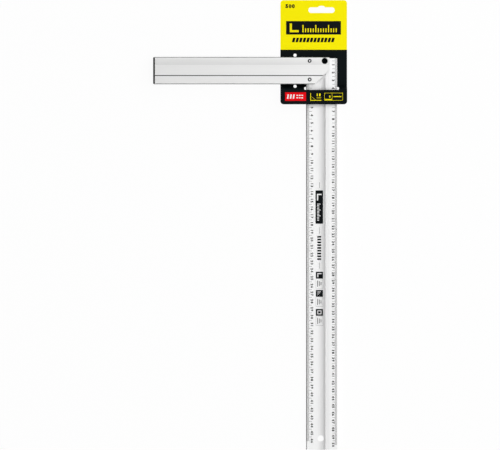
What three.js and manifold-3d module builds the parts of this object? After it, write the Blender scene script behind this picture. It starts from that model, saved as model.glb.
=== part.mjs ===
// Riveted aluminium carpenter's square on its hang card, in millimetres, +Z up.
// It lies flat with the blade running along Y and the stock along X.
import * as THREE from 'three';
import { mergeVertices } from 'three/addons/utils/BufferGeometryUtils.js';
import Module from 'manifold-3d';

// stock: hollow three-cell extrusion
const stockLength = 225;
const stockHeight = 35;
const stockThickness = 16;
const stockWall = 1.4;
const stockOuterWall = 1.2;
const stockWeb = 1.2;
const stockCornerRadius = 1;
const grooveFromFence = 11.4;
const grooveWidth = 1.2;
const grooveDepth = 0.7;
const upperBandHeight = 10.1;
const bandRecess = 0.2;
const mitreLeg = 19.2; // 45 degree cut at the corner between fence and blade

// blade: flat back, thin scale edge, scoop up to a thick outer edge
const bladeWidth = 40;
const bladeReach = 471.5; // below the fence
const bladeOverhang = 10; // past the end of the stock
const bladeThinEdge = 1.8;
const bladeThickEdge = 3;
const scoopStart = 12.9;
const scoopEnd = 25.4;
const scoopCurve = 2.5; // power of its rise: flat at first, steep at the crest
const scoopSteps = 14;
const bladeBevel = 0.35;
const scaleBevelWidth = 1.2; // slope along the thin inner edge
const scaleBevelDepth = 0.5;
const hangHoleDiameter = 8;
const hangHoleFromEdge = 18.8;
const hangHoleFromEnd = 14.6;

// corner hole for a pencil or nail, drilled through stock and blade
const cornerHoleDiameter = 8;
const cornerHoleFromStockEnd = 6;

// rivets and the sleeves that keep the hollow stock from crushing
const rivetFromEdge = 4.5;
const rivetFromOuterFace = 5;
const rivetFromFence = 6;
const rivetShank = 4;
const rivetHeadLip = 0.4; // beyond the shank, all round
const rivetHeadThickness = 0.5;
const rivetDome = 0.35;
const sleeveWall = 0.9;

// end cap pressed into the free end of the stock
const capFlange = 1.9;
const capChamfer = 1.2;
const capPlugLength = 11;

// hang card, creased so that it passes from behind the square to the front of the blade
const cardWidth = 86;
const cardAboveFence = 108.8;
const cardBelowFence = 26;
const cardRightOfBlade = 12.9;
const cardThickness = 0.6;
const cardCornerRadius = 4.2;
const creaseRadius = 1.3;
const stripLift = 5.5; // air between the blade and the card's front strip
const bladeSlotSpare = 3.3; // past each edge of the blade
const bladeSlotTop = 3.5; // below the fence
const bladeSlotBottom = 7.3;
const euroSlotWidth = 34;
const euroSlotHeight = 7.3;
const euroSlotFromTop = 9.3;
const euroBumpWidth = 9;
const euroBumpHeight = 2;
const tieHoleDiameter = 4.2;
const tieHoleLeftOfBlade = 14.2;
const tieHoleGap = 2.6; // from the stock's edges

// fits
const gap = 0.3; // between neighbours that touch on the real thing
const slide = 0.15; // each side of the blade in its slot

// heights of the stacked parts above the ground
const stockBack = cardThickness + gap;
const stockFront = stockBack + stockThickness;
const bladeBack = stockBack + (stockThickness - bladeThickEdge) / 2;
const bladeFront = bladeBack + bladeThickEdge;
const bladeThinFront = bladeBack + bladeThinEdge;
const stripUnderside = bladeFront + stripLift;
const stockRight = bladeWidth - bladeOverhang;
const stockLeft = stockRight - stockLength;
const bladeTop = stockHeight - stockOuterWall;
const outerRivetY = stockHeight - rivetFromOuterFace;
const cornerHoleX = stockRight - cornerHoleFromStockEnd;
const bandTop = stockHeight - upperBandHeight;
const rivetHead = rivetShank + 2 * rivetHeadLip;
const rivetBore = rivetShank + 2 * gap;

const aluminium = new THREE.MeshStandardMaterial({ color: 0xd9dbd9, roughness: 0.38, metalness: 0.9 });
const bladeAluminium = new THREE.MeshStandardMaterial({ color: 0xe2e4e2, roughness: 0.34, metalness: 0.9 });
const rivetAluminium = new THREE.MeshStandardMaterial({ color: 0xc4c6c5, roughness: 0.3, metalness: 0.95 });
const sleeveSteel = new THREE.MeshStandardMaterial({ color: 0xa9adb0, roughness: 0.4, metalness: 0.9 });
const capPlastic = new THREE.MeshStandardMaterial({ color: 0x17181a, roughness: 0.6, metalness: 0 });
const cardBoard = new THREE.MeshStandardMaterial({ color: 0x17191b, roughness: 0.5, metalness: 0 });

const wasm = await Module();
wasm.setup();

function toSolid(geometry) {
  geometry.deleteAttribute('normal');
  geometry.deleteAttribute('uv');
  const merged = mergeVertices(geometry, 1e-4);
  return new wasm.Manifold(new wasm.Mesh({
    numProp: 3,
    vertProperties: Float32Array.from(merged.attributes.position.array),
    triVerts: Uint32Array.from(merged.index.array),
  }));
}

function toMesh(name, solid, material) {
  const raw = solid.getMesh();
  const geometry = new THREE.BufferGeometry();
  geometry.setAttribute('position', new THREE.BufferAttribute(raw.vertProperties, 3));
  geometry.setIndex(new THREE.BufferAttribute(raw.triVerts, 1));
  geometry.computeVertexNormals();
  const mesh = new THREE.Mesh(geometry, material);
  mesh.name = name;
  return mesh;
}

function box(x0, x1, y0, y1, z0, z1) {
  const geometry = new THREE.BoxGeometry(x1 - x0, y1 - y0, z1 - z0);
  geometry.translate((x0 + x1) / 2, (y0 + y1) / 2, (z0 + z1) / 2);
  return toSolid(geometry);
}

function upright(diameter, x, y, z0, z1, sides = 48) {
  const geometry = new THREE.CylinderGeometry(diameter / 2, diameter / 2, z1 - z0, sides);
  geometry.rotateX(Math.PI / 2);
  geometry.translate(x, y, (z0 + z1) / 2);
  return toSolid(geometry);
}

// outline in (Y, Z), run along X
function alongX(shape, x0, x1, bevel = 0) {
  const geometry = new THREE.ExtrudeGeometry(shape, {
    depth: x1 - x0 - 2 * bevel, curveSegments: 6,
    bevelEnabled: bevel > 0, bevelThickness: bevel, bevelSize: bevel, bevelOffset: -bevel, bevelSegments: 2,
  });
  const turn = new THREE.Matrix4().makeBasis(
    new THREE.Vector3(0, 1, 0), new THREE.Vector3(0, 0, 1), new THREE.Vector3(1, 0, 0));
  geometry.applyMatrix4(turn);
  geometry.translate(x0 + bevel, 0, 0);
  return toSolid(geometry);
}

// outline in (X, Z), run along Y
function alongY(shape, y0, y1) {
  const geometry = new THREE.ExtrudeGeometry(shape, { depth: y1 - y0, bevelEnabled: false });
  geometry.rotateX(Math.PI / 2);
  geometry.translate(0, y1, 0);
  return toSolid(geometry);
}

// outline in (X, Y), run along Z
function alongZ(shape, z0, z1) {
  const geometry = new THREE.ExtrudeGeometry(shape, {
    depth: z1 - z0, curveSegments: 12, bevelEnabled: false,
  });
  geometry.translate(0, 0, z0);
  return toSolid(geometry);
}

function roundedRectangle(path, x0, x1, y0, y1, radius) {
  path.moveTo(x0 + radius, y0);
  path.lineTo(x1 - radius, y0);
  path.absarc(x1 - radius, y0 + radius, radius, -Math.PI / 2, 0);
  path.lineTo(x1, y1 - radius);
  path.absarc(x1 - radius, y1 - radius, radius, 0, Math.PI / 2);
  path.lineTo(x0 + radius, y1);
  path.absarc(x0 + radius, y1 - radius, radius, Math.PI / 2, Math.PI);
  path.lineTo(x0, y0 + radius);
  path.absarc(x0 + radius, y0 + radius, radius, Math.PI, Math.PI * 1.5);
  return path;
}

const points = (list) => list.map(([x, y]) => new THREE.Vector2(x, y));

// the three cells of the extrusion as [from, to] above the fence
const cells = [
  [stockWall, grooveFromFence - stockWeb / 2],
  [grooveFromFence + stockWeb / 2, bandTop - stockWeb / 2],
  [bandTop + stockWeb / 2, stockHeight - stockOuterWall],
];

function makeStock() {
  const x0 = stockLeft;
  const x1 = stockRight;
  let solid = alongX(
    roundedRectangle(new THREE.Shape(), 0, stockHeight, stockBack, stockFront, stockCornerRadius), x0, x1);
  for (const [from, to] of cells) {
    solid = solid.subtract(box(
      x0 - 1, x1 + 1, from, to, stockBack + stockWall, stockFront - stockWall));
  }
  const grooveTop = grooveFromFence + grooveWidth / 2;
  const grooveBottom = grooveFromFence - grooveWidth / 2;
  for (const side of [-1, 1]) {
    const face = side > 0 ? stockFront : stockBack;
    const band = [face - side * bandRecess, face + side * 1].sort((a, b) => a - b);
    const groove = [face - side * grooveDepth, face + side * 1].sort((a, b) => a - b);
    solid = solid.subtract(box(x0 - 1, x1 + 1, grooveTop - 0.1, bandTop, ...band));
    solid = solid.subtract(box(x0 - 1, x1 + 1, grooveBottom, grooveTop, ...groove));
  }
  // slot for the blade, milled through the fence wall and both webs
  solid = solid.subtract(box(
    -gap, x1 + 1, -1, bladeTop, bladeBack - slide, bladeFront + slide));
  for (const y of [rivetFromFence, outerRivetY]) {
    const seat = rivetHead + 2 * gap;
    const seatDepth = rivetHeadThickness + gap;
    solid = solid.subtract(upright(rivetBore, rivetFromEdge, y, stockBack - 1, stockFront + 1));
    solid = solid.subtract(upright(seat, rivetFromEdge, y, stockFront - seatDepth, stockFront + 1));
    solid = solid.subtract(upright(seat, rivetFromEdge, y, stockBack - 1, stockBack + seatDepth));
  }
  const mitre = new THREE.Shape(points([
    [x1 - mitreLeg, 0], [x1 - mitreLeg - 1, -1], [x1 + 1, -1], [x1 + 1, mitreLeg + 1]]));
  solid = solid.subtract(alongZ(mitre, stockBack - 1, stockFront + 1));
  return solid.subtract(upright(
    cornerHoleDiameter, cornerHoleX, outerRivetY, stockBack - 1, stockFront + 1));
}

function makeBlade() {
  const rise = bladeThickEdge - bladeThinEdge;
  const run = scoopEnd - scoopStart;
  const profile = [[0, bladeBack], [bladeWidth, bladeBack], [bladeWidth, bladeFront - bladeBevel],
    [bladeWidth - bladeBevel, bladeFront]];
  for (let i = scoopSteps; i >= 0; i -= 1) {
    const share = i / scoopSteps;
    profile.push([scoopStart + run * share, bladeThinFront + rise * share ** scoopCurve]);
  }
  profile.push([scaleBevelWidth, bladeThinFront], [0, bladeThinFront - scaleBevelDepth]);
  let solid = alongY(new THREE.Shape(points(profile)), -bladeReach, bladeTop - gap);
  const drill = (diameter, x, y) => upright(diameter, x, y, bladeBack - 1, bladeFront + 1);
  for (const y of [rivetFromFence, outerRivetY]) {
    solid = solid.subtract(drill(rivetBore, rivetFromEdge, y));
  }
  solid = solid.subtract(drill(cornerHoleDiameter, cornerHoleX, outerRivetY));
  return solid.subtract(drill(hangHoleDiameter, hangHoleFromEdge, hangHoleFromEnd - bladeReach));
}

function makeCap() {
  const x0 = stockLeft - gap - capFlange;
  const flangeEnd = stockLeft - gap;
  let solid = alongX(
    roundedRectangle(new THREE.Shape(), 0, stockHeight, stockBack, stockFront, stockCornerRadius + capChamfer),
    x0, flangeEnd + capChamfer, capChamfer);
  solid = solid.subtract(box(
    flangeEnd, flangeEnd + capChamfer + 1, -1, stockHeight + 1, stockBack - 1, stockFront + 1));
  for (const [from, to] of cells) {
    const plug = box(
      flangeEnd - 0.5, stockLeft + capPlugLength, from + gap, to - gap,
      stockBack + stockWall + gap, stockFront - stockWall - gap);
    const inset = Math.min(to - from, stockThickness - 2 * stockWall) * 0.2;
    const hollow = box(
      stockLeft + 1, stockLeft + capPlugLength + 1, from + inset, to - inset,
      stockBack + stockWall + inset, stockFront - stockWall - inset);
    solid = solid.add(plug).subtract(hollow);
  }
  return solid;
}

function makeRivet(y) {
  const shank = rivetShank / 2;
  const head = rivetHead / 2;
  const domeSteps = 4;
  const profile = [];
  for (let i = 0; i <= domeSteps; i += 1) {
    const share = i / domeSteps;
    profile.push([head * share, stockBack + rivetDome * share * share]);
  }
  profile.push([head, stockBack + rivetHeadThickness], [shank, stockBack + rivetHeadThickness]);
  profile.push([shank, stockFront - rivetHeadThickness], [head, stockFront - rivetHeadThickness]);
  for (let i = domeSteps; i >= 0; i -= 1) {
    const share = i / domeSteps;
    profile.push([head * share, stockFront - rivetDome * share * share]);
  }
  const geometry = new THREE.LatheGeometry(points(profile), 40);
  geometry.rotateX(Math.PI / 2);
  geometry.translate(rivetFromEdge, y, 0);
  return toSolid(geometry);
}

function makeSleeve(y, z0, z1) {
  return upright(rivetBore + 2 * sleeveWall, rivetFromEdge, y, z0, z1)
    .subtract(upright(rivetBore, rivetFromEdge, y, z0 - 1, z1 + 1));
}

// centre line of the card from its top edge to the end of the front strip, bends rounded;
// the slope between the bends passes under the back of the blade at the slot's upper edge
function cardPath() {
  const half = cardThickness / 2;
  const head = [-bladeSlotBottom + creaseRadius * 0.6, stripUnderside + half];
  const under = [-bladeSlotTop, bladeBack - gap - 1.5 * cardThickness];
  const slope = (head[1] - under[1]) / (head[0] - under[0]);
  const foot = [under[0] + (half - under[1]) / slope, half];
  const corners = points([[cardAboveFence, half], foot, head, [-cardBelowFence, stripUnderside + half]]);
  const path = [corners[0]];
  for (let i = 1; i < corners.length - 1; i += 1) {
    const back = corners[i - 1].clone().sub(corners[i]).normalize();
    const ahead = corners[i + 1].clone().sub(corners[i]).normalize();
    const halfAngle = Math.acos(back.dot(ahead)) / 2;
    const reach = creaseRadius / Math.tan(halfAngle);
    const start = corners[i].clone().addScaledVector(back, reach);
    const end = corners[i].clone().addScaledVector(ahead, reach);
    for (let k = 0; k <= 5; k += 1) {
      const t = k / 5;
      path.push(start.clone().multiplyScalar((1 - t) ** 2)
        .addScaledVector(corners[i], 2 * t * (1 - t)).addScaledVector(end, t * t));
    }
  }
  path.push(corners[corners.length - 1]);
  return path;
}

function makeCard() {
  const path = cardPath();
  const sideOf = (sign) => path.map((point, i) => {
    const before = path[Math.max(i - 1, 0)];
    const after = path[Math.min(i + 1, path.length - 1)];
    const run = after.clone().sub(before).normalize();
    return new THREE.Vector2(-run.y, run.x).multiplyScalar((sign * cardThickness) / 2).add(point);
  });
  const side = new THREE.Shape([...sideOf(1), ...sideOf(-1).reverse()]);
  const right = bladeWidth + cardRightOfBlade;
  const left = right - cardWidth;
  const middle = bladeWidth / 2;
  const outline = roundedRectangle(
    new THREE.Shape(), left, right, -cardBelowFence, cardAboveFence, cardCornerRadius);
  const euroTop = cardAboveFence - euroSlotFromTop;
  const euroBottom = euroTop - euroSlotHeight;
  const bump = euroBumpWidth / 2;
  const end = euroSlotHeight / 2;
  const euroSlot = new THREE.Path();
  euroSlot.moveTo(middle - euroSlotWidth / 2 + end, euroBottom);
  euroSlot.lineTo(middle + euroSlotWidth / 2 - end, euroBottom);
  euroSlot.absarc(middle + euroSlotWidth / 2 - end, euroBottom + end, end, -Math.PI / 2, Math.PI / 2);
  euroSlot.lineTo(middle + bump, euroTop);
  euroSlot.absellipse(middle, euroTop, bump, euroBumpHeight, 0, Math.PI, false);
  euroSlot.lineTo(middle - euroSlotWidth / 2 + end, euroTop);
  euroSlot.absarc(middle - euroSlotWidth / 2 + end, euroBottom + end, end, Math.PI / 2, Math.PI * 1.5);
  outline.holes.push(euroSlot);
  outline.holes.push(roundedRectangle(
    new THREE.Path(), -bladeSlotSpare, bladeWidth + bladeSlotSpare,
    -bladeSlotBottom, -bladeSlotTop, (bladeSlotBottom - bladeSlotTop) * 0.49));
  for (const y of [stockHeight + tieHoleGap, -tieHoleGap]) {
    outline.holes.push(new THREE.Path().absarc(-tieHoleLeftOfBlade, y, tieHoleDiameter / 2, 0, Math.PI * 2));
  }
  return alongX(side, left - 1, right + 1).intersect(alongZ(outline, -1, stripUnderside + 5));
}

const meshes = [
  toMesh('stock', makeStock(), aluminium),
  toMesh('blade', makeBlade(), bladeAluminium),
  toMesh('end_cap', makeCap(), capPlastic),
  toMesh('rivet_outer', makeRivet(outerRivetY), rivetAluminium),
  toMesh('rivet_inner', makeRivet(rivetFromFence), rivetAluminium),
  toMesh('hang_card', makeCard(), cardBoard),
];
for (const [place, y] of [['outer', outerRivetY], ['inner', rivetFromFence]]) {
  meshes.push(toMesh(`spacer_${place}_front`, makeSleeve(
    y, bladeThinFront + gap, stockFront - stockWall - gap), sleeveSteel));
  meshes.push(toMesh(`spacer_${place}_rear`, makeSleeve(
    y, stockBack + stockWall + gap, bladeBack - gap), sleeveSteel));
}

// the origin goes to the middle of the footprint, on the ground
const group = new THREE.Group();
group.name = 'carpenters_square';
const left = stockLeft - gap - capFlange;
const right = bladeWidth + cardRightOfBlade;
for (const mesh of meshes) {
  mesh.geometry.translate(-(left + right) / 2, (bladeReach - cardAboveFence) / 2, 0);
  group.add(mesh);
}

export default group;
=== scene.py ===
# Carpenter's square on its hang card: satin anodised stock and rule, pressed rivets, printed scales and card.
import math

import bmesh
import bpy
from mathutils import Matrix, Vector


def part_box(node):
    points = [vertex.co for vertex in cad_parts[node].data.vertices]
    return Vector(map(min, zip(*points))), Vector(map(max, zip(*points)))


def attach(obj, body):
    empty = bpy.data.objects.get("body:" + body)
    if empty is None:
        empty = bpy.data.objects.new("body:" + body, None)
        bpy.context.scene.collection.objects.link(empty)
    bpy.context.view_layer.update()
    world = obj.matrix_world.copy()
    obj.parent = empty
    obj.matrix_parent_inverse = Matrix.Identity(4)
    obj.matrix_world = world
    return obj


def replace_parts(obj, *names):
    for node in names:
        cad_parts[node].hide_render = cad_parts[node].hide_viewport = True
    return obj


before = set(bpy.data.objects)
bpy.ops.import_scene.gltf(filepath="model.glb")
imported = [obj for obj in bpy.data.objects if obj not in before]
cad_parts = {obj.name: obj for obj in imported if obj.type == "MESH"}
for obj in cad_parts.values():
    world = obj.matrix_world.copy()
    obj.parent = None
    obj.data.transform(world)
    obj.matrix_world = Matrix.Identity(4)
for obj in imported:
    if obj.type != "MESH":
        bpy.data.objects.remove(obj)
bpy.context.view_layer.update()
mm = 0.001
print("frame loaded:", len(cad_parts), "nodes")

stockLow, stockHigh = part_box("stock")
bladeLow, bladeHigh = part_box("blade")
cardLow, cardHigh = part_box("hang_card")
innerEdge = bladeLow.x  # the blade's inner edge and the fence meet in the inner corner
outerEdge = bladeHigh.x
fence = stockLow.y


# colours are written as sRGB hex and turned linear here
def linear(hexColour):
    parts = [int(hexColour[i:i + 2], 16) / 255 for i in (1, 3, 5)]
    return tuple(p / 12.92 if p <= 0.04045 else ((p + 0.055) / 1.055) ** 2.4 for p in parts) + (1.0,)


# adds one node; settings are its own options, inputs are values or sockets to link
def addNode(tree, kind, settings={}, inputs={}):
    node = tree.nodes.new("ShaderNode" + kind)
    for name, value in settings.items():
        setattr(node, name, value)
    for name, value in inputs.items():
        if isinstance(value, bpy.types.NodeSocket):
            tree.links.new(value, node.inputs[name])
        else:
            node.inputs[name].default_value = value
    return node


def startMaterial(name, **surface):
    material = bpy.data.materials.new(name)
    material.use_nodes = True
    shader = material.node_tree.nodes["Principled BSDF"]
    for socket, value in surface.items():
        shader.inputs[socket.replace("_", " ")].default_value = value
    return material, material.node_tree, shader


# a noise's values lie mostly between these
noiseLow, noiseHigh = 0.3, 0.7
cloudShare = 0.3  # of the clouds in the tone of a drawn surface, beside its streaks


# links a tone, and lets one noise carry the finish's gloss and relief
def linkFinish(tree, shader, tone, noise, roughness, glossSpread, relief, reliefStrength):
    gloss = addNode(tree, "MapRange", {}, {
        "Value": noise, "From Min": noiseLow, "From Max": noiseHigh,
        "To Min": roughness - glossSpread, "To Max": roughness + glossSpread})
    bump = addNode(tree, "Bump", {}, {
        "Height": noise, "Strength": reliefStrength, "Distance": relief * mm})
    tree.links.new(tone, shader.inputs["Base Color"])
    tree.links.new(gloss.outputs["Result"], shader.inputs["Roughness"])
    tree.links.new(bump.outputs["Normal"], shader.inputs["Normal"])


# drawn lines of an extrusion or a rolled rule: long noise streaks along one axis, in tone, gloss and relief;
# the real lines are about 0.05 mm apart and too fine to show, so they are drawn a millimetre or so wide
def makeDrawnAluminium(name, along, looks):
    material, tree, shader = startMaterial(name, Metallic=looks["metallic"], Roughness=looks["roughness"])
    place = addNode(tree, "TexCoord")
    stretch = Vector((1, 1, 1)) / (looks["lineWidth"] * mm)
    stretch[along] = 1 / (looks["lineLength"] * mm)
    lines = addNode(tree, "Mapping", {}, {"Vector": place.outputs["Object"], "Scale": stretch})
    streaks = addNode(tree, "TexNoise", {}, {
        "Vector": lines.outputs["Vector"], "Scale": 1.0, "Detail": 3.0, "Roughness": 0.6})
    clouds = addNode(tree, "TexNoise", {}, {
        "Vector": place.outputs["Object"], "Scale": 1 / (looks["cloud"] * mm), "Detail": 1.0})
    mixed = addNode(tree, "Mix", {"data_type": "FLOAT"}, {
        0: cloudShare, 2: streaks.outputs["Fac"], 3: clouds.outputs["Fac"]})
    tone = addNode(tree, "Mix", {"data_type": "RGBA"}, {
        0: mixed.outputs[0], 6: linear(looks["dark"]), 7: linear(looks["light"])})
    linkFinish(tree, shader, tone.outputs[2], streaks.outputs["Fac"], looks["roughness"],
               looks["glossSpread"], looks["relief"], looks["reliefStrength"])
    return material


# a band of painted shade across one axis, between two places, where a finish is drawn a little darker: its
# level runs from one end of the band to the other and is 1 outside
def shadeBand(material, axis, start, end, startLevel, endLevel):
    tree = material.node_tree
    shader = tree.nodes["Principled BSDF"]
    tone = shader.inputs["Base Color"].links[0].from_socket
    place = addNode(tree, "TexCoord")
    split = addNode(tree, "SeparateXYZ", {}, {"Vector": place.outputs["Object"]})
    ramp = addNode(tree, "MapRange", {}, {
        "Value": split.outputs[axis], "From Min": start, "From Max": end,
        "To Min": startLevel, "To Max": endLevel})
    past = addNode(tree, "Math", {"operation": "GREATER_THAN"}, {0: split.outputs[axis], 1: start})
    before = addNode(tree, "Math", {"operation": "LESS_THAN"}, {0: split.outputs[axis], 1: end})
    inside = addNode(tree, "Math", {"operation": "MULTIPLY"}, {0: past.outputs[0], 1: before.outputs[0]})
    level = addNode(tree, "Mix", {"data_type": "FLOAT"}, {
        0: inside.outputs[0], 2: 1.0, 3: ramp.outputs["Result"]})
    shaded = addNode(tree, "HueSaturation", {}, {"Value": level.outputs[0], "Color": tone})
    tree.links.new(shaded.outputs["Color"], shader.inputs["Base Color"])


# a matt or varnished surface with fine grain has these looks, unless its own dictionary says otherwise
grainedLooks = {"glossSpread": 0.05, "reliefStrength": 0.4, "metallic": 0.0, "specular": 0.5}


# fine grain that varies tone, gloss and relief a little
def makeGrained(name, own):
    looks = {**grainedLooks, **own}
    material, tree, shader = startMaterial(
        name, Metallic=looks["metallic"], Roughness=looks["roughness"], Specular_IOR_Level=looks["specular"])
    place = addNode(tree, "TexCoord")
    grain = addNode(tree, "TexNoise", {}, {
        "Vector": place.outputs["Object"], "Scale": 1 / (looks["grain"] * mm), "Detail": 2.0})
    tone = addNode(tree, "Mix", {"data_type": "RGBA"}, {
        0: grain.outputs["Fac"], 6: linear(looks["dark"]), 7: linear(looks["light"])})
    linkFinish(tree, shader, tone.outputs[2], grain.outputs["Fac"], looks["roughness"],
               looks["glossSpread"], looks["relief"], looks["reliefStrength"])
    return material


# 6063 aluminium, extruded, brushed and satin anodised: soft broad reflections, faint lines along the stock
extrudedAluminium = makeDrawnAluminium("satin_anodised_extrusion", 0, {
    "dark": "#e6e6e6", "light": "#f2f2f1", "metallic": 0.9, "roughness": 0.48, "glossSpread": 0.04,
    "lineWidth": 1.4, "lineLength": 120, "cloud": 60, "reliefStrength": 0.15, "relief": 0.02})
# the same aluminium on the rounded long edges, a little rougher, with painted shade: drawn much darker, as
# the edges turn away from the light
edgeShadeAluminium = makeDrawnAluminium("painted_shade_long_edges", 0, {
    "dark": "#4e5051", "light": "#5f6162", "metallic": 0.9, "roughness": 0.6, "glossSpread": 0.04,
    "lineWidth": 1.0, "lineLength": 90, "cloud": 40, "reliefStrength": 0.15, "relief": 0.02})
# painted shade in the narrow groove: drawn nearly black, dull and hardly metallic, for the light that does
# not reach into it
grooveAluminium = makeDrawnAluminium("painted_shade_narrow_groove", 0, {
    "dark": "#0c0d0e", "light": "#161718", "metallic": 0.3, "roughness": 0.8, "glossSpread": 0.04,
    "lineWidth": 0.6, "lineLength": 60, "cloud": 30, "reliefStrength": 0.2, "relief": 0.02})
# rolled and satin anodised rule, a little finer than the stock
ruleAluminium = makeDrawnAluminium("satin_anodised_rule", 1, {
    "dark": "#f1f1f1", "light": "#f9f9f9", "metallic": 0.92, "roughness": 0.48, "glossSpread": 0.03,
    "lineWidth": 1.0, "lineLength": 160, "cloud": 70, "reliefStrength": 0.1, "relief": 0.02})
# cold-headed aluminium, pale and satin in the middle of the head
rivetAluminium = makeGrained("pressed_rivet_head", {
    "dark": "#f2f2f2", "light": "#fdfdfd", "metallic": 0.8, "roughness": 0.45, "grain": 0.5, "relief": 0.01})
# the flank of the head, with painted shade: drawn dark grey, in metal that mirrors the dark side of the room
rivetRing = makeGrained("painted_shade_rivet_flank", {
    "dark": "#36383a", "light": "#48494b", "metallic": 1.0, "roughness": 0.26, "grain": 0.5, "relief": 0.01})
# zinc plated steel tube, sawn to length
sleeveSteel = makeGrained("zinc_plated_sleeve", {
    "dark": "#9b9fa3", "light": "#b4b8bb", "metallic": 1.0, "roughness": 0.4, "grain": 0.8, "relief": 0.01})
# injection moulded polypropylene with a fine spark-eroded grain: dull black
capPlastic = makeGrained("moulded_polypropylene", {
    "dark": "#060607", "light": "#0c0c0d", "roughness": 0.62, "specular": 0.15, "grain": 0.35,
    "relief": 0.04})
# offset printed and matt varnished board, black part: almost no gloss
boardBlack = makeGrained("varnished_board_black", {
    "dark": "#080e10", "light": "#0d1416", "roughness": 0.6, "specular": 0.05, "grain": 0.6, "relief": 0.01})
# the same board under solid yellow
boardYellow = makeGrained("varnished_board_yellow", {
    "dark": "#ffee00", "light": "#fff500", "roughness": 0.6, "specular": 0.06, "grain": 0.6, "relief": 0.01})
# cut edge of the board: pale layered pulp
boardCore = makeGrained("cut_board_edge", {
    "dark": "#cfc9bd", "light": "#e2ddd2", "roughness": 0.9, "specular": 0.2, "grain": 0.25, "relief": 0.04})
# the back carries one flat black without varnish: duller than the front, a little pulp shows through
boardBack = makeGrained("unvarnished_black_back", {
    "dark": "#0c0f10", "light": "#1c1f20", "roughness": 0.85, "specular": 0.1, "grain": 0.7, "relief": 0.03})
# screen printed epoxy ink of the scales: dark grey and dull
scaleInk = makeGrained("screen_printed_scale_ink", {
    "dark": "#0c0d0e", "light": "#161718", "roughness": 0.6, "specular": 0.1, "grain": 0.3, "relief": 0.005})
# offset inks under the same varnish as the board: almost no gloss, and too thin to hide its grain
offsetInk = {"roughness": 0.6, "specular": 0.06, "grain": 0.6, "relief": 0.005}
inkBlack = makeGrained("offset_ink_black", {"dark": "#0a0e10", "light": "#0e1315", **offsetInk})
inkYellow = makeGrained("offset_ink_yellow", {"dark": "#f8e500", "light": "#fff002", **offsetInk})
inkRed = makeGrained("offset_ink_red", {"dark": "#e3000f", "light": "#ee0813", **offsetInk})
inkWhite = makeGrained("offset_ink_white", {"dark": "#eeeeee", "light": "#f8f8f8", **offsetInk})
print("materials made")


# turns a finished bmesh into a piece that rides on a body
def makePiece(bm, name, materials, body, smoothAngle=30):
    mesh = bpy.data.meshes.new(name)
    bm.to_mesh(mesh)
    bm.free()
    for material in materials:
        mesh.materials.append(material)
    mesh.shade_smooth()
    mesh.set_sharp_from_angle(angle=math.radians(smoothAngle))
    piece = bpy.data.objects.new(name, mesh)
    bpy.context.scene.collection.objects.link(piece)
    flat = piece.modifiers.new("flat faces stay flat", "WEIGHTED_NORMAL")
    flat.keep_sharp = True
    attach(piece, body)
    return piece


def breakEdges(bm, edgeBreak, hardAngle):
    hard = [e for e in bm.edges if e.is_manifold and e.calc_face_angle() > math.radians(hardAngle)]
    bmesh.ops.bevel(bm, geom=hard, affect="EDGES", offset=edgeBreak * mm, offset_type="OFFSET",
                    segments=2, profile=0.5, clamp_overlap=True, material=-1)


# a merged copy of a CAD node with its flat faces whole again and its hard edges broken
def copyOfNode(node, edgeBreak, hardAngle=50):
    bm = bmesh.new()
    bm.from_mesh(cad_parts[node].data)
    bmesh.ops.remove_doubles(bm, verts=bm.verts, dist=0.001 * mm)
    bmesh.ops.dissolve_limit(bm, angle_limit=math.radians(0.3), verts=bm.verts, edges=bm.edges)
    for face in bm.faces:
        face.material_index = 0
    if edgeBreak:
        breakEdges(bm, edgeBreak, hardAngle)
    return bm


# heights of the upper band and the groove on the stock's broad faces, above the fence; the band sinks by the
# crown towards its step, and the groove is drawn a little lower and finer than it was cut; the step and end
# levels are levels of painted shade
stockLooks = {
    "bandFrom": 24.9, "bandTo": 33.9, "crown": 0.12, "cuts": 5, "stepLevel": 0.88, "endLevel": 0.93,
    "grooveFrom": 10.7, "grooveTo": 12.1, "grooveDeep": 0.75, "grooveDrop": 0.3, "grooveSqueeze": 0.84,
    "edgeBreak": 0.12, "hardAngle": 50, "skin": 0.02, "flush": 0.005, "edgeZone": 0.9,
    "leanY": 0.2, "leanZ": 0.1}  # a face slopes if its normal leans more than this along both


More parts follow.
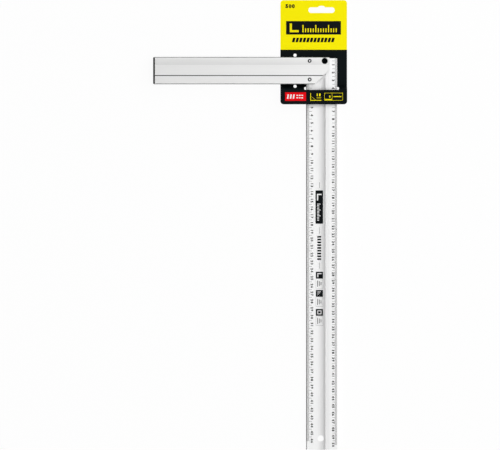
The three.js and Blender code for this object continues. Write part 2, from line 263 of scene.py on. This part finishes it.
# stock: hollow extrusion with sawn and deburred ends; its upper band is very slightly crowned
def makeStock():
    looks = stockLooks
    bm = copyOfNode("stock", 0)
    run = looks["bandTo"] - looks["bandFrom"]
    for cut in range(1, looks["cuts"]):
        height = looks["bandFrom"] + run * cut / looks["cuts"]
        bmesh.ops.bisect_plane(bm, geom=bm.verts[:] + bm.edges[:] + bm.faces[:], dist=1e-6,
                               plane_co=(0, fence + height * mm, 0), plane_no=(0, 1, 0))
    halfway = (stockLow.z + stockHigh.z) / 2
    grooveMiddle = (looks["grooveFrom"] + looks["grooveTo"]) / 2
    for vert in bm.verts:
        height = (vert.co.y - fence) / mm
        down = (looks["bandTo"] - height) / run
        onSkin = min(stockHigh.z - vert.co.z, vert.co.z - stockLow.z) < looks["skin"] * mm
        if onSkin and looks["bandFrom"] - looks["skin"] < height < looks["bandTo"]:
            side = 1 if vert.co.z > halfway else -1
            vert.co.z -= side * looks["crown"] * mm * down ** 2
        if looks["grooveFrom"] < height < looks["grooveTo"]:
            height = grooveMiddle - looks["grooveDrop"] + (height - grooveMiddle) * looks["grooveSqueeze"]
            vert.co.y = fence + height * mm
    breakEdges(bm, looks["edgeBreak"], looks["hardAngle"])
    lowEdge, highEdge = looks["edgeZone"], (stockHigh.y - fence) / mm - looks["edgeZone"]
    for face in bm.faces:
        middle = face.calc_center_median()
        height = (middle.y - fence) / mm
        depth = min(stockHigh.z - middle.z, middle.z - stockLow.z) / mm
        inGroove = looks["grooveFrom"] - looks["grooveDrop"] < height < looks["grooveTo"]
        sloping = abs(face.normal.y) > looks["leanY"] and abs(face.normal.z) > looks["leanZ"]
        # painted shade: the faces inside the groove take the nearly black groove material
        if inGroove and looks["flush"] < depth < looks["grooveDeep"]:
            face.material_index = 2
        # painted shade: the sloping faces of the rounded long edges take the darker edge material
        elif sloping and not lowEdge < height < highEdge:
            face.material_index = 1
    return makePiece(bm, "stock_extrusion", [extrudedAluminium, edgeShadeAluminium, grooveAluminium],
                     "square")


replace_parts(makeStock(), "stock")
# painted shade: the finish is drawn darker and darker towards the step of the upper band, and a little darker
# towards the free end
shadeBand(extrudedAluminium, "Y", fence + stockLooks["bandFrom"] * mm, fence + stockLooks["bandTo"] * mm,
          stockLooks["stepLevel"], 1.0)
shadeBand(extrudedAluminium, "X", stockLow.x, stockHigh.x, stockLooks["endLevel"], 1.0)

# sizes across the blade, from its inner edge: a thin bevelled scale edge, a scoop, then the thick side; the
# last two entries place painted shade on the thick side next to the scoop
bladeLooks = {
    "thin": 1.8, "bevelWidth": 1.2, "bevelDepth": 0.5,
    "scoopStart": 12.9, "scoopEnd": 25.4, "scoopCurve": 2.5,
    "edgeBreak": 0.08, "creaseAngle": 9, "shadeTo": 30.2, "shadeLevels": (0.93, 0.95)}

# blade: the rule itself; its crease and scoop stay crisp
blade = makePiece(copyOfNode("blade", bladeLooks["edgeBreak"]), "rule_blade", [ruleAluminium], "square",
                  smoothAngle=bladeLooks["creaseAngle"])
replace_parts(blade, "blade")
# painted shade: the thick side is drawn a little darker next to the scoop
shadeBand(ruleAluminium, "X", innerEdge + bladeLooks["scoopEnd"] * mm, innerEdge + bladeLooks["shadeTo"] * mm,
          *bladeLooks["shadeLevels"])
print("stock and blade made")

# rim and floor of the cap's panel: shares of the face each is drawn in, across and through, and how far it
# sinks
capLooks = {"panel": [(0.84, 0.68, 0), (0.975, 0.93, 0.35)]}


# end cap: a moulded cap with a shallow panel on its outer face
def makeEndCap():
    bm = copyOfNode("end_cap", 0)
    outer = min(bm.faces, key=lambda f: f.calc_center_median().x if f.normal.x < -0.99 else 1)
    centre = outer.calc_center_bounds()
    for across, through, sink in capLooks["panel"]:
        bmesh.ops.inset_individual(bm, faces=[outer], thickness=0, depth=0)
        for vert in outer.verts:
            vert.co.x += sink * mm
            vert.co.y = centre.y + (vert.co.y - centre.y) * across
            vert.co.z = centre.z + (vert.co.z - centre.z) * through
    return makePiece(bm, "end_cap_moulding", [capPlastic], "square")


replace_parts(makeEndCap(), "end_cap")

# half the outline of a head: distance from its axis and depth below its top; the flank starts at flankFrom
rivetLooks = {
    "outline": [(0, 0), (0.7, 0.02), (0.95, 0.07), (1.3, 0.22), (1.6, 0.37), (1.85, 0.45), (2.1, 0.47),
                (2.4, 0.42)],
    "flankFrom": 0.95, "headThickness": 0.5, "shank": 2.0, "steps": 48}


# rivet: half a profile spun round its axis, a small dome in a pressed ring on both ends
def makeRivet(node):
    low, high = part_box(node)
    middle = (low + high) / 2
    head = (high.x - low.x) / 2 / mm
    tall = (high.z - low.z) / 2 / mm
    under = tall - rivetLooks["headThickness"]
    drawn = rivetLooks["outline"][-1][0]
    face = [(x * head / drawn, tall - down) for x, down in rivetLooks["outline"]]
    face += [(head, under), (rivetLooks["shank"], under)]
    profile = face + [(x, -z) for x, z in reversed(face)]
    bm = bmesh.new()
    corners = [bm.verts.new((x * mm, 0, z * mm)) for x, z in profile]
    edges = [bm.edges.new(pair) for pair in zip(corners, corners[1:])]
    bmesh.ops.spin(bm, geom=corners + edges, cent=(0, 0, 0), axis=(0, 0, 1), dvec=(0, 0, 0),
                   angle=math.tau, steps=rivetLooks["steps"], use_merge=True)
    bmesh.ops.remove_doubles(bm, verts=bm.verts, dist=0.002 * mm)
    bmesh.ops.recalc_face_normals(bm, faces=bm.faces)
    for spot in bm.faces:
        # painted shade: the flank outside flankFrom takes the dark grey flank material
        if spot.calc_center_median().xy.length > rivetLooks["flankFrom"] * mm:
            spot.material_index = 1
    bmesh.ops.translate(bm, verts=bm.verts, vec=middle)
    piece = makePiece(bm, node.replace("rivet", "pressed_rivet"), [rivetAluminium, rivetRing], "square")
    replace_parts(piece, node)


for node in ("rivet_outer", "rivet_inner"):
    makeRivet(node)
for node in ("spacer_outer_front", "spacer_outer_rear", "spacer_inner_front", "spacer_inner_rear"):
    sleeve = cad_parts[node]
    sleeve.data.materials.clear()
    sleeve.data.materials.append(sleeveSteel)
print("cap, rivets and sleeves made")

thick = (bladeHigh.z - bladeLow.z) / mm
bladeWidth = (outerEdge - innerEdge) / mm


# height of the blade's front above its back, in mm, at a distance from its inner edge
def bladeHeight(x):
    if x < bladeLooks["bevelWidth"]:
        return bladeLooks["thin"] - bladeLooks["bevelDepth"] * (1 - max(x, 0) / bladeLooks["bevelWidth"])
    if x <= bladeLooks["scoopStart"]:
        return bladeLooks["thin"]
    if x >= bladeLooks["scoopEnd"]:
        return thick
    share = (x - bladeLooks["scoopStart"]) / (bladeLooks["scoopEnd"] - bladeLooks["scoopStart"])
    return bladeLooks["thin"] + (thick - bladeLooks["thin"]) * share ** bladeLooks["scoopCurve"]


# a thin printed patch; all prints are drawn in mm from the inner corner and lie at height 0 to ink
inkThickness = 0.03
still = (0, 0, 0, 0)  # the step of a row with one patch
scoopCuts = 13  # a print is cut at every millimetre of the scoop


def addPatch(bm, x0, x1, y0, y1, slant=0, corner=0):
    made = bmesh.ops.create_cube(bm, size=1)["verts"]
    bmesh.ops.scale(bm, verts=made, vec=(x1 - x0, y1 - y0, inkThickness))
    bmesh.ops.translate(bm, verts=made, vec=((x0 + x1) / 2, (y0 + y1) / 2, inkThickness / 2))
    for vert in made:
        if vert.co.y > (y0 + y1) / 2:
            vert.co.x += slant
    if corner:
        upright = {e for v in made for e in v.link_edges if abs(e.verts[0].co.z - e.verts[1].co.z) > 0.001}
        bmesh.ops.bevel(bm, geom=list(upright), affect="EDGES", offset=corner, offset_type="OFFSET",
                        segments=4, profile=0.5, clamp_overlap=True, material=-1)


def addOutline(bm, x0, x1, y0, y1, line):
    addPatch(bm, x0, x1, y0, y0 + line)
    addPatch(bm, x0, x1, y1 - line, y1)
    addPatch(bm, x0, x0 + line, y0 + line, y1 - line)
    addPatch(bm, x1 - line, x1, y0 + line, y1 - line)


# patches in rows: the first one, how many there are, how the four edges move on from one to the next, and
# how far the tops lean over
def addRows(bm, rows, x=0, y=0):
    for first, count, step, slant in rows:
        for k in range(count):
            x0, x1, y0, y1 = (edge + k * move for edge, move in zip(first, step))
            addPatch(bm, x + x0, x + x1, y + y0, y + y1, slant)


# a second ink printed on top of the first
def liftInk(bm):
    for vert in bm.verts:
        vert.co.z += inkThickness


# puts a drawing on the blade's front: cut where the surface bends, then lifted to it
def layOnBlade(bm, name, material):
    bends = [bladeLooks["bevelWidth"], bladeLooks["scoopStart"], bladeLooks["scoopEnd"]]
    bends += [bladeLooks["scoopStart"] + step for step in range(1, scoopCuts)]
    across = [v.co.x for v in bm.verts]
    for bend in bends:
        if min(across) < bend < max(across):
            bmesh.ops.bisect_plane(bm, geom=bm.verts[:] + bm.edges[:] + bm.faces[:], dist=1e-5,
                                   plane_co=(bend, 0, 0), plane_no=(1, 0, 0))
    for vert in bm.verts:
        vert.co.z += bladeHeight(vert.co.x)
    bmesh.ops.scale(bm, verts=bm.verts, vec=(mm, mm, mm))
    bmesh.ops.translate(bm, verts=bm.verts, vec=(innerEdge, fence, bladeLow.z))
    return makePiece(bm, name, [material], "square")


scaleLooks = {
    "tickWidth": 0.34, "outerLength": 500, "innerLength": 460, "margin": 0.15,
    "tick": 3.0, "centimetre": 3.4, "half": 6.2, "innerTick": 4.0, "innerCentimetre": 4.6, "innerHalf": 7.6,
    "digitHeight": 3.3, "digitStretch": 1.12, "digitPitch": 3.1, "bold": 0.05, "labelBold": 0.06,
    "outerDigits": 33.3, "innerDigits": 5.9}


# the fine ticks of a scale, from the zero line down the blade
def makeTicks(name, length, zero, edge, inward, sizes):
    bm = bmesh.new()
    half = scaleLooks["tickWidth"] / 2
    for tick in range(length + 1):
        reach = sizes[0]
        if tick % 10 == 0:
            reach = sizes[1]
        elif tick % 5 == 0:
            reach = sizes[2]
        y = zero - tick
        if y + half > (bladeHigh.y - fence) / mm:
            continue
        near = edge + inward * scaleLooks["margin"]
        far = edge + inward * reach
        addPatch(bm, min(near, far), max(near, far), y - half, y + half)
    return layOnBlade(bm, name, scaleInk)


# digits are made once each, then copied into place, reading down the blade
def makeDigits(bold):
    shapes = {}
    for digit in "0123456789":
        curve = bpy.data.curves.new("digit_" + digit, "FONT")
        curve.body = digit
        curve.resolution_u = 2
        curve.offset = bold
        curve.align_x = "CENTER"
        writing = bpy.data.objects.new("digit_" + digit, curve)
        bpy.context.scene.collection.objects.link(writing)
        bpy.context.view_layer.update()
        flat = bpy.data.meshes.new_from_object(writing.evaluated_get(bpy.context.evaluated_depsgraph_get()))
        bpy.data.objects.remove(writing)
        bpy.data.curves.remove(curve)
        bm = bmesh.new()
        bm.from_mesh(flat)
        bpy.data.meshes.remove(flat)
        bmesh.ops.remove_doubles(bm, verts=bm.verts, dist=0.001)
        bmesh.ops.dissolve_limit(bm, angle_limit=math.radians(1), verts=bm.verts, edges=bm.edges)
        low = min(v.co.y for v in bm.verts)
        tall = max(v.co.y for v in bm.verts) - low
        bmesh.ops.translate(bm, verts=bm.verts, vec=(0, -low, 0))
        bmesh.ops.scale(bm, verts=bm.verts, vec=(scaleLooks["digitStretch"] / tall, 1 / tall, 0))
        faces = bmesh.ops.extrude_face_region(bm, geom=bm.faces[:])["geom"]
        top = [v for v in faces if isinstance(v, bmesh.types.BMVert)]
        bmesh.ops.translate(bm, verts=top, vec=(0, 0, 1))
        bmesh.ops.recalc_face_normals(bm, faces=bm.faces)
        shape = bpy.data.meshes.new("digit_shape_" + digit)
        bm.to_mesh(shape)
        bm.free()
        shapes[digit] = shape
    return shapes


digitShapes = makeDigits(scaleLooks["bold"])
boldDigits = makeDigits(scaleLooks["labelBold"])


# one number: x and y are the foot of its middle, turn is about Z
def addNumber(bm, text, x, y, height, pitch, turn, shapes):
    for i, digit in enumerate(text):
        along = (i - (len(text) - 1) / 2) * pitch
        place = Matrix.Translation((x, y, 0)) @ Matrix.Rotation(turn, 4, "Z")
        place = place @ Matrix.Translation((along, 0, 0))
        copy = shapes[digit].copy()
        copy.transform(place @ Matrix.Diagonal((height, height, inkThickness, 1)))
        bm.from_mesh(copy)
        bpy.data.meshes.remove(copy)


def makeNumbers(name, first, last, zero, foot):
    bm = bmesh.new()
    for number in range(first, last + 1):
        addNumber(bm, str(number), foot, zero - number * 10, scaleLooks["digitHeight"],
                  scaleLooks["digitPitch"], -math.pi / 2, digitShapes)
    return layOnBlade(bm, name, scaleInk)


outerZero = (stockHigh.y - fence) / mm
makeTicks("outer_scale_ticks", scaleLooks["outerLength"], outerZero, bladeWidth, -1,
          (scaleLooks["tick"], scaleLooks["centimetre"], scaleLooks["half"]))
makeTicks("inner_scale_ticks", scaleLooks["innerLength"], 0, 0, 1,
          (scaleLooks["innerTick"], scaleLooks["innerCentimetre"], scaleLooks["innerHalf"]))
makeNumbers("outer_scale_numbers", 1, scaleLooks["outerLength"] // 10, outerZero, scaleLooks["outerDigits"])
makeNumbers("inner_scale_numbers", 1, scaleLooks["innerLength"] // 10, 0, scaleLooks["innerDigits"])
print("scales printed")

# plain pictograms down the middle of the blade; those in the three small blocks are drawn from the upper
# left corner of their block
markLooks = {
    "dark": [((17.225, 17.575, -133.7, -126.6), 1, still, 0), ((17.225, 17.575, -192.7, -184.5), 1, still, 0),
             ((17.225, 17.575, -237.9, -230.1), 1, still, 0),
             ((14.4, 19.4, -197.9, -195.7), 9, (0, 0, -3.6, -3.6), 0)],
    "panel": (12.1, 21.9, -180.0, -136.9), "panelCorner": 0.8,
    "pale": [((14.0, 20.0, -143.0, -141.4), 1, still, 0), ((14.0, 15.6, -150.0, -143.0), 1, still, 0),
             ((14.2, 18.6, -155.0, -154.1), 3, (0, 0, -7.6, -7.6), 0),
             ((14.2, 16.8, -156.9, -156.0), 3, (0, 0, -1.9, -1.9), 0),
             ((14.2, 16.8, -164.5, -163.6), 3, (0, 0, -1.9, -1.9), 0),
             ((14.2, 16.8, -172.1, -171.2), 3, (0, 0, -1.9, -1.9), 0)],
    "blockLeft": 12.6, "blockTops": (-241.9, -265.4, -289.9), "blockCorner": 0.4, "frameLine": 0.18,
    "block": (0, 9.2, -8.8, 0), "frame": (0, 9.2, -21.4, -9.1),
    "inFrame": [((1.8, 2.6, -19.4, -11.4), 3, (2.2, 2.2, 1, -1), 0)],
    "signs": [
        [((2.0, 3.2, -7.0, -1.8), 1, still, 0), ((3.2, 7.2, -3.0, -1.8), 1, still, 0)],
        [((2.0, 2.4, -7.2, -6.6), 4, (0, 1.4, 1.5, 1.5), 0)],
        [((2.0, 7.2, -6.8, -5.9), 2, (0, 0, 3.9, 3.9), 0), ((2.0, 2.9, -5.9, -2.9), 2, (4.3, 4.3, 0, 0), 0)]]}


def makeBladeMarks():
    dark = bmesh.new()
    pale = bmesh.new()
    addRows(dark, markLooks["dark"])
    addPatch(dark, *markLooks["panel"], corner=markLooks["panelCorner"])
    addRows(pale, markLooks["pale"])
    left = markLooks["blockLeft"]
    for top, sign in zip(markLooks["blockTops"], markLooks["signs"]):
        x0, x1, y0, y1 = markLooks["block"]
        addPatch(dark, left + x0, left + x1, top + y0, top + y1, corner=markLooks["blockCorner"])
        x0, x1, y0, y1 = markLooks["frame"]
        addOutline(dark, left + x0, left + x1, top + y0, top + y1, markLooks["frameLine"])
        addRows(dark, markLooks["inFrame"], left, top)
        addRows(pale, sign, left, top)
    liftInk(pale)
    layOnBlade(dark, "blade_pictograms_dark", inkBlack)
    layOnBlade(pale, "blade_pictograms_pale", inkWhite)


makeBladeMarks()
print("blade pictograms printed")

# the head is yellow above a line over the fence; the slot's ends, at these depths below the fence, are
# pressed a little closer to the blade than they were cut
cardLooks = {"board": 0.6, "headLine": 44.7, "slotFrom": 3.45, "slotTo": 7.35, "slotReach": 4,
             "slotEnds": 0.78}


# hang card: die-cut board, printed in front, plain behind, pale where it is cut
def makeCard():
    bm = copyOfNode("hang_card", 0)
    for vert in bm.verts:
        below = (fence - vert.co.y) / mm
        if cardLooks["slotFrom"] < below < cardLooks["slotTo"]:
            for edge in (innerEdge, outerEdge):
                past = vert.co.x - edge
                outward = past if edge == outerEdge else -past
                if 0 < outward < cardLooks["slotReach"] * mm:
                    vert.co.x = edge + past * cardLooks["slotEnds"]
    line = fence + cardLooks["headLine"] * mm
    bmesh.ops.bisect_plane(bm, geom=bm.verts[:] + bm.edges[:] + bm.faces[:], dist=1e-6,
                           plane_co=(0, line, 0), plane_no=(0, 1, 0))
    for face in bm.faces:
        if face.normal.z > 0.2:
            face.material_index = 1 if face.calc_center_median().y > line else 0
        else:
            face.material_index = 3 if face.normal.z < -0.2 else 2
    piece = makePiece(bm, "printed_card", [boardBlack, boardYellow, boardCore, boardBack], "hang_card")
    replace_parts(piece, "hang_card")


makeCard()


# puts a drawing on the card's panel or on its front strip
def layOnCard(bm, name, material, height):
    bmesh.ops.scale(bm, verts=bm.verts, vec=(mm, mm, mm))
    bmesh.ops.translate(bm, verts=bm.verts, vec=(innerEdge, fence, height))
    return makePiece(bm, name, [material], "hang_card")


panelTop = cardLooks["board"] * mm
stripTop = cardHigh.z

# a rule with ticks and a small square in a black panel, slanted bars under it, and the length in mm
headPrint = {
    "black": [((-25.8, 45.1, 64.3, 81.7), 1, still, 0),
              ((-18.4, -15.0, 54.4, 60.2), 12, (4.6, 4.6, 0, 0), 1.6)],
    "yellow": [((-21.0, -18.2, 67.3, 78.7), 1, still, 0), ((-18.2, -9.5, 67.3, 70.1), 1, still, 0),
               ((-4.6, -3.2, 67.3, 76.7), 3, (16.5, 16.5, 0, 0), 0),
               ((-1.3, 0.1, 67.3, 72.3), 4, (3.3, 3.3, 0, 0), 0),
               ((15.2, 16.6, 67.3, 72.3), 4, (3.3, 3.3, 0, 0), 0),
               ((31.7, 33.1, 67.3, 72.3), 3, (3.3, 3.3, 0, 0), 0)],
    "length": {"text": "500", "x": -20.6, "y": 98.4, "height": 5.2, "pitch": 4.2, "turn": 0}}


def makeHeadPrint():
    dark = bmesh.new()
    bright = bmesh.new()
    addRows(dark, headPrint["black"])
    addNumber(dark, **headPrint["length"], shapes=boldDigits)
    addRows(bright, headPrint["yellow"])
    liftInk(bright)
    layOnCard(dark, "card_head_print_black", inkBlack, panelTop)
    layOnCard(bright, "card_head_print_yellow", inkYellow, panelTop)


# bars on a red patch, then a square with its brace and short bars, then what a framed pair of cells holds
stripPrint = {
    "red": [((-27.1, -0.1, -21.5, -10.5), 1, still, 0)],
    "white": [((-24.8, -22.9, -18.8, -13.2), 3, (3.7, 3.7, 0, 0), 0.9),
              ((-12.6, -10.3, -15.1, -13.7), 3, (3.2, 3.2, 0, 0), 0),
              ((-12.6, -10.3, -18.3, -16.9), 3, (3.2, 3.2, 0, 0), 0)],
    "yellow": [((5.4, 6.2, -21.3, -11.5), 1, still, 0), ((6.2, 19.6, -21.3, -20.5), 1, still, 0),
               ((6.8, 7.5, -16.6, -16.0), 5, (1.1, 1.1, -0.9, -0.9), 0),
               ((13.8, 14.9, -15.6, -12.0), 1, still, 0), ((16.8, 18.6, -15.6, -12.0), 1, still, 0),
               ((13.6, 19.2, -18.0, -17.4), 1, still, 0), ((33.3, 33.7, -20.7, -11.7), 1, still, 0),
               ((24.4, 33.0, -20.5, -19.2), 1, still, 0), ((29.8, 31.4, -17.2, -14.8), 1, still, 0),
               ((35.2, 45.6, -16.6, -15.5), 1, still, 0)],
    "cells": (23.6, 47.2, -21.1, -11.3), "cellLine": 0.35}


def makeStripPrint():
    red = bmesh.new()
    white = bmesh.new()
    bright = bmesh.new()
    addRows(red, stripPrint["red"])
    addRows(white, stripPrint["white"])
    liftInk(white)
    addRows(bright, stripPrint["yellow"])
    addOutline(bright, *stripPrint["cells"], stripPrint["cellLine"])
    layOnCard(red, "card_strip_print_red", inkRed, stripTop)
    layOnCard(white, "card_strip_print_white", inkWhite, stripTop)
    layOnCard(bright, "card_strip_print_yellow", inkYellow, stripTop)


makeHeadPrint()
makeStripPrint()
print("card printed")

# floor: pale and plain, seen white by the camera and in reflections, with part of the object's shadow kept
floorLooks = {"size": 12.0, "below": 0.05, "glow": 0.94, "tone": "#f6f6f6", "roughness": 0.9}


def makeFloor():
    bm = bmesh.new()
    bmesh.ops.create_grid(bm, x_segments=1, y_segments=1, size=floorLooks["size"] / 2)
    bmesh.ops.translate(bm, verts=bm.verts, vec=(0, 0, cardLow.z - floorLooks["below"] * mm))
    mesh = bpy.data.meshes.new("floor")
    bm.to_mesh(mesh)
    bm.free()
    material, tree, shader = startMaterial(
        "white_studio_floor", Roughness=floorLooks["roughness"], Base_Color=linear(floorLooks["tone"]))
    path = addNode(tree, "LightPath")
    seen = addNode(tree, "Math", {"operation": "MAXIMUM"}, {
        0: path.outputs["Is Camera Ray"], 1: path.outputs["Is Glossy Ray"]})
    share = addNode(tree, "Math", {"operation": "MULTIPLY"}, {0: seen.outputs[0], 1: floorLooks["glow"]})
    glow = addNode(tree, "Emission", {}, {"Color": (1, 1, 1, 1), "Strength": 1.0})
    mixed = addNode(tree, "MixShader", {}, {
        0: share.outputs[0], 1: shader.outputs["BSDF"], 2: glow.outputs["Emission"]})
    tree.links.new(mixed.outputs[0], tree.nodes["Material Output"].inputs["Surface"])
    mesh.materials.append(material)
    floor = bpy.data.objects.new("floor", mesh)
    bpy.context.scene.collection.objects.link(floor)


makeFloor()

# a broad light overhead with brighter panels on both sides of it, along the blade; a dark flag on the left
# that starts near the zenith, so that slopes to the left read darker; a low bright ring for the edges
lightLooks = {
    "overhead": 0.68, "flag": 0.01, "flagFrom": -0.31, "flagTo": -0.19, "panels": 4.0,
    "panelsFrom": 0.15, "panelsTo": 0.48, "panelsEnd": 0.68, "panelsFull": 0.83,
    "ring": 0.66, "ringFrom": 0.38, "ringTo": 0.2,
    "keyPlace": (0.95, 0.5, 0.9), "keyPower": 5.4, "keySize": 1.4}


# moves smoothly from one level to another as a direction goes from one place in the sky to another
def addRise(tree, direction, start, end, low, high):
    return addNode(tree, "MapRange", {"interpolation_type": "SMOOTHSTEP"}, {
        "Value": direction, "From Min": start, "From Max": end, "To Min": low, "To Max": high})


def makeWorld():
    world = bpy.data.worlds.new("studio")
    world.use_nodes = True
    bpy.context.scene.world = world
    tree = world.node_tree
    tree.nodes.clear()
    place = addNode(tree, "TexCoord")
    split = addNode(tree, "SeparateXYZ", {}, {"Vector": place.outputs["Generated"]})
    level = addRise(tree, split.outputs["X"], lightLooks["flagFrom"], lightLooks["flagTo"],
                    lightLooks["flag"], lightLooks["overhead"])
    across = addNode(tree, "Math", {"operation": "ABSOLUTE"}, {0: split.outputs["Y"]})
    panels = addRise(tree, across.outputs[0], lightLooks["panelsFrom"], lightLooks["panelsTo"], 0.0, 1.0)
    high = addRise(tree, split.outputs["Z"], lightLooks["panelsEnd"], lightLooks["panelsFull"], 0.0, 1.0)
    share = addNode(tree, "Math", {"operation": "MULTIPLY"}, {
        0: panels.outputs["Result"], 1: high.outputs["Result"]})
    lift = addNode(tree, "Math", {"operation": "MULTIPLY_ADD"}, {
        0: share.outputs[0], 1: lightLooks["panels"] - 1, 2: 1.0})
    flagged = addNode(tree, "Math", {"operation": "MULTIPLY"}, {
        0: level.outputs["Result"], 1: lift.outputs[0]})
    low = addRise(tree, split.outputs["Z"], lightLooks["ringTo"], lightLooks["ringFrom"], 1.0, 0.0)
    strength = addNode(tree, "Mix", {"data_type": "FLOAT"}, {
        0: low.outputs["Result"], 2: flagged.outputs[0], 3: lightLooks["ring"]})
    studio = addNode(tree, "Background", {}, {"Color": (1, 1, 1, 1), "Strength": strength.outputs[0]})
    backdrop = addNode(tree, "Background", {}, {"Color": (1, 1, 1, 1), "Strength": 1.0})
    path = addNode(tree, "LightPath")
    mixed = addNode(tree, "MixShader", {}, {
        0: path.outputs["Is Camera Ray"], 1: studio.outputs[0], 2: backdrop.outputs[0]})
    addNode(tree, "OutputWorld", {}, {"Surface": mixed.outputs[0]})


def makeLamp(name, place, size, power):
    data = bpy.data.lights.new(name, "AREA")
    data.size = size
    data.energy = power
    lamp = bpy.data.objects.new(name, data)
    bpy.context.scene.collection.objects.link(lamp)
    lamp.location = place
    lamp.rotation_euler = (Vector((0, 0, 0)) - Vector(place)).to_track_quat("-Z", "Y").to_euler()
    lamp.visible_camera = False


makeWorld()
makeLamp("key_softbox", lightLooks["keyPlace"], lightLooks["keySize"], lightLooks["keyPower"])

# camera: straight above, far away with a long lens
cameraLooks = {"lens": 600.0, "sensor": 36.0, "frameWidth": 645.0, "shift": (-0.2, -0.25)}
eye = bpy.data.cameras.new("camera")
eye.lens = cameraLooks["lens"]
eye.sensor_width = cameraLooks["sensor"]
camera = bpy.data.objects.new("camera", eye)
bpy.context.scene.collection.objects.link(camera)
distance = cameraLooks["frameWidth"] * mm * cameraLooks["lens"] / cameraLooks["sensor"]
shiftX, shiftY = cameraLooks["shift"]
camera.location = (shiftX * mm, shiftY * mm, bladeHigh.z + distance)
bpy.context.scene.camera = camera
bpy.context.scene.view_settings.view_transform = "Standard"
print("floor, lights and camera set")
